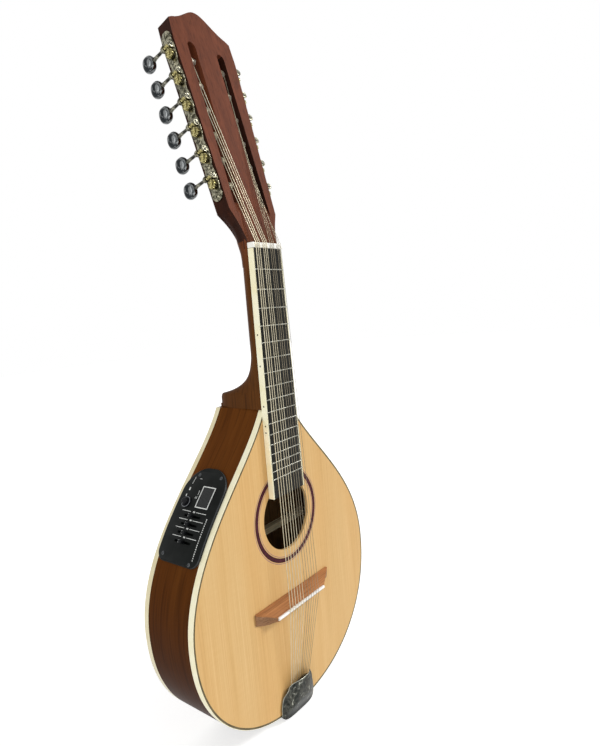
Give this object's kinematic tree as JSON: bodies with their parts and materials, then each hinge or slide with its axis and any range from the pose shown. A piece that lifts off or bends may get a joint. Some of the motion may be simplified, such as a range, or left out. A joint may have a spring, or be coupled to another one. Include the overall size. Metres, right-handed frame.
{
  "type": "twelve-string mandolin",
  "caption": "Teardrop flat-back mandolin with triple-strung courses, slotted headstock, geared tuners, metal tailpiece and a rim preamp.",
  "frame": {"origin": "middle of the nut's board-side edge, on the plane of the soundboard", "axes": "+Z along the neck to the headstock, -Y out of the soundboard, +X to the treble side"},
  "size_m": [0.2684, 0.1022, 0.7025],
  "materials": {
    "spruce": "satin lacquer, straight fine grain",
    "mahogany": "gloss lacquer, dark red brown",
    "neck_wood": "satin lacquer, red brown",
    "cream_binding": "cream celluloid",
    "fretboard_wood": "dark, satin",
    "bone": "white",
    "bridge_wood": "satin, red brown",
    "brass": "polished",
    "nickel": "nickel plate",
    "dark_chrome": "dark chrome plate",
    "string_steel": "bronze and steel wire",
    "black_plastic": "black",
    "grey_plastic": "dark grey"
  },
  "bodies": {
    "instrument": {"back_braces": "spruce", "back_plate": "mahogany", "binding_back": "cream_binding", "binding_front": "cream_binding", "bridge": "bridge_wood", "fretboard": "fretboard_wood", "neck": "neck_wood", "nut": "bone", "output_jack": "nickel", "preamp": "black_plastic", "rim": "mahogany", "saddle": "bone", "soundboard": "spruce", "string_01": "string_steel", "string_02": "string_steel", "string_03": "string_steel", "string_04": "string_steel", "string_05": "string_steel", "string_06": "string_steel", "string_07": "string_steel", "string_08": "string_steel", "string_09": "string_steel", "string_10": "string_steel", "string_11": "string_steel", "string_12": "string_steel", "tail_block": "mahogany", "tailpiece_base": "nickel", "top_braces": "spruce", "tuner_plate_bass": "nickel", "tuner_plate_treble": "nickel"},
    "tuner_key_01": {"tuner_key_01": "dark_chrome"},
    "string_roller_01": {"string_roller_01": "brass"},
    "tuner_key_02": {"tuner_key_02": "dark_chrome"},
    "string_roller_02": {"string_roller_02": "brass"},
    "tuner_key_03": {"tuner_key_03": "dark_chrome"},
    "string_roller_03": {"string_roller_03": "brass"},
    "tuner_key_04": {"tuner_key_04": "dark_chrome"},
    "string_roller_04": {"string_roller_04": "brass"},
    "tuner_key_05": {"tuner_key_05": "dark_chrome"},
    "string_roller_05": {"string_roller_05": "brass"},
    "tuner_key_06": {"tuner_key_06": "dark_chrome"},
    "string_roller_06": {"string_roller_06": "brass"},
    "tuner_key_07": {"tuner_key_07": "dark_chrome"},
    "string_roller_07": {"string_roller_07": "brass"},
    "tuner_key_08": {"tuner_key_08": "dark_chrome"},
    "string_roller_08": {"string_roller_08": "brass"},
    "tuner_key_09": {"tuner_key_09": "dark_chrome"},
    "string_roller_09": {"string_roller_09": "brass"},
    "tuner_key_10": {"tuner_key_10": "dark_chrome"},
    "string_roller_10": {"string_roller_10": "brass"},
    "tuner_key_11": {"tuner_key_11": "dark_chrome"},
    "string_roller_11": {"string_roller_11": "brass"},
    "tuner_key_12": {"tuner_key_12": "dark_chrome"},
    "string_roller_12": {"string_roller_12": "brass"},
    "volume_knob": {"volume_knob": "grey_plastic"},
    "eq_slider_1": {"eq_slider_1": "grey_plastic"},
    "eq_slider_2": {"eq_slider_2": "grey_plastic"},
    "eq_slider_3": {"eq_slider_3": "grey_plastic"},
    "eq_slider_4": {"eq_slider_4": "grey_plastic"},
    "tailpiece_cover": {"tailpiece_cover": "dark_chrome"}
  },
  "joints": [
    {"name": "key_01_turn", "type": "hinge", "parent": "instrument", "child": "tuner_key_01", "pos_m": [-0.03875, 0.01472, 0.06803], "axis": [0, 0.9677, -0.2521], "continuous": true},
    {"name": "roller_01_turn", "type": "hinge", "parent": "instrument", "child": "string_roller_01", "pos_m": [-0.03404, 0.01978, 0.05969], "axis": [0.999, 0.0113, 0.0434], "continuous": true},
    {"name": "key_02_turn", "type": "hinge", "parent": "instrument", "child": "tuner_key_02", "pos_m": [-0.03989, 0.02109, 0.09248], "axis": [0, 0.9677, -0.2521], "continuous": true},
    {"name": "roller_02_turn", "type": "hinge", "parent": "instrument", "child": "string_roller_02", "pos_m": [-0.03518, 0.02615, 0.08414], "axis": [0.999, 0.0113, 0.0434], "continuous": true},
    {"name": "key_03_turn", "type": "hinge", "parent": "instrument", "child": "tuner_key_03", "pos_m": [-0.04102, 0.02746, 0.11694], "axis": [0, 0.9677, -0.2521], "continuous": true},
    {"name": "roller_03_turn", "type": "hinge", "parent": "instrument", "child": "string_roller_03", "pos_m": [-0.03631, 0.03252, 0.1086], "axis": [0.999, 0.0113, 0.0434], "continuous": true},
    {"name": "key_04_turn", "type": "hinge", "parent": "instrument", "child": "tuner_key_04", "pos_m": [-0.04215, 0.03383, 0.1414], "axis": [0, 0.9677, -0.2521], "continuous": true},
    {"name": "roller_04_turn", "type": "hinge", "parent": "instrument", "child": "string_roller_04", "pos_m": [-0.03744, 0.03889, 0.13306], "axis": [0.999, 0.0113, 0.0434], "continuous": true},
    {"name": "key_05_turn", "type": "hinge", "parent": "instrument", "child": "tuner_key_05", "pos_m": [-0.04329, 0.0402, 0.16586], "axis": [0, 0.9677, -0.2521], "continuous": true},
    {"name": "roller_05_turn", "type": "hinge", "parent": "instrument", "child": "string_roller_05", "pos_m": [-0.03858, 0.04526, 0.15752], "axis": [0.999, 0.0113, 0.0434], "continuous": true},
    {"name": "key_06_turn", "type": "hinge", "parent": "instrument", "child": "tuner_key_06", "pos_m": [-0.04442, 0.04657, 0.19032], "axis": [0, 0.9677, -0.2521], "continuous": true},
    {"name": "roller_06_turn", "type": "hinge", "parent": "instrument", "child": "string_roller_06", "pos_m": [-0.03971, 0.05164, 0.18198], "axis": [0.999, 0.0113, 0.0434], "continuous": true},
    {"name": "key_07_turn", "type": "hinge", "parent": "instrument", "child": "tuner_key_07", "pos_m": [0.04442, 0.04657, 0.19032], "axis": [0, 0.9677, -0.2521], "continuous": true},
    {"name": "roller_07_turn", "type": "hinge", "parent": "instrument", "child": "string_roller_07", "pos_m": [0.03971, 0.05164, 0.18198], "axis": [0.999, -0.0113, -0.0434], "continuous": true},
    {"name": "key_08_turn", "type": "hinge", "parent": "instrument", "child": "tuner_key_08", "pos_m": [0.04329, 0.0402, 0.16586], "axis": [0, 0.9677, -0.2521], "continuous": true},
    {"name": "roller_08_turn", "type": "hinge", "parent": "instrument", "child": "string_roller_08", "pos_m": [0.03858, 0.04526, 0.15752], "axis": [0.999, -0.0113, -0.0434], "continuous": true},
    {"name": "key_09_turn", "type": "hinge", "parent": "instrument", "child": "tuner_key_09", "pos_m": [0.04215, 0.03383, 0.1414], "axis": [0, 0.9677, -0.2521], "continuous": true},
    {"name": "roller_09_turn", "type": "hinge", "parent": "instrument", "child": "string_roller_09", "pos_m": [0.03744, 0.03889, 0.13306], "axis": [0.999, -0.0113, -0.0434], "continuous": true},
    {"name": "key_10_turn", "type": "hinge", "parent": "instrument", "child": "tuner_key_10", "pos_m": [0.04102, 0.02746, 0.11694], "axis": [0, 0.9677, -0.2521], "continuous": true},
    {"name": "roller_10_turn", "type": "hinge", "parent": "instrument", "child": "string_roller_10", "pos_m": [0.03631, 0.03252, 0.1086], "axis": [0.999, -0.0113, -0.0434], "continuous": true},
    {"name": "key_11_turn", "type": "hinge", "parent": "instrument", "child": "tuner_key_11", "pos_m": [0.03989, 0.02109, 0.09248], "axis": [0, 0.9677, -0.2521], "continuous": true},
    {"name": "roller_11_turn", "type": "hinge", "parent": "instrument", "child": "string_roller_11", "pos_m": [0.03518, 0.02615, 0.08414], "axis": [0.999, -0.0113, -0.0434], "continuous": true},
    {"name": "key_12_turn", "type": "hinge", "parent": "instrument", "child": "tuner_key_12", "pos_m": [0.03875, 0.01472, 0.06803], "axis": [0, 0.9677, -0.2521], "continuous": true},
    {"name": "roller_12_turn", "type": "hinge", "parent": "instrument", "child": "string_roller_12", "pos_m": [0.03404, 0.01978, 0.05969], "axis": [0.999, -0.0113, -0.0434], "continuous": true},
    {"name": "volume_turn", "type": "hinge", "parent": "instrument", "child": "volume_knob", "pos_m": [-0.08407, 0.047, -0.22981], "axis": [-0.756, 0, 0.6545], "range_deg": [0, 270]},
    {"name": "eq_1_slide", "type": "slide", "parent": "instrument", "child": "eq_slider_1", "axis": [0, 1, 0], "range_m": [-0.009, 0.009]},
    {"name": "eq_2_slide", "type": "slide", "parent": "instrument", "child": "eq_slider_2", "axis": [0, 1, 0], "range_m": [-0.009, 0.009]},
    {"name": "eq_3_slide", "type": "slide", "parent": "instrument", "child": "eq_slider_3", "axis": [0, 1, 0], "range_m": [-0.009, 0.009]},
    {"name": "eq_4_slide", "type": "slide", "parent": "instrument", "child": "eq_slider_4", "axis": [0, 1, 0], "range_m": [-0.009, 0.009]},
    {"name": "cover_slide", "type": "slide", "parent": "instrument", "child": "tailpiece_cover", "axis": [-0.0698, 0, -0.9976], "range_m": [0, 0.03]}
  ],
  "couplings": [
    {"joint": "roller_01_turn", "follows": "key_01_turn", "ratio": 0.083333},
    {"joint": "roller_02_turn", "follows": "key_02_turn", "ratio": 0.083333},
    {"joint": "roller_03_turn", "follows": "key_03_turn", "ratio": 0.083333},
    {"joint": "roller_04_turn", "follows": "key_04_turn", "ratio": 0.083333},
    {"joint": "roller_05_turn", "follows": "key_05_turn", "ratio": 0.083333},
    {"joint": "roller_06_turn", "follows": "key_06_turn", "ratio": 0.083333},
    {"joint": "roller_07_turn", "follows": "key_07_turn", "ratio": 0.083333},
    {"joint": "roller_08_turn", "follows": "key_08_turn", "ratio": 0.083333},
    {"joint": "roller_09_turn", "follows": "key_09_turn", "ratio": 0.083333},
    {"joint": "roller_10_turn", "follows": "key_10_turn", "ratio": 0.083333},
    {"joint": "roller_11_turn", "follows": "key_11_turn", "ratio": 0.083333},
    {"joint": "roller_12_turn", "follows": "key_12_turn", "ratio": 0.083333}
  ]
}
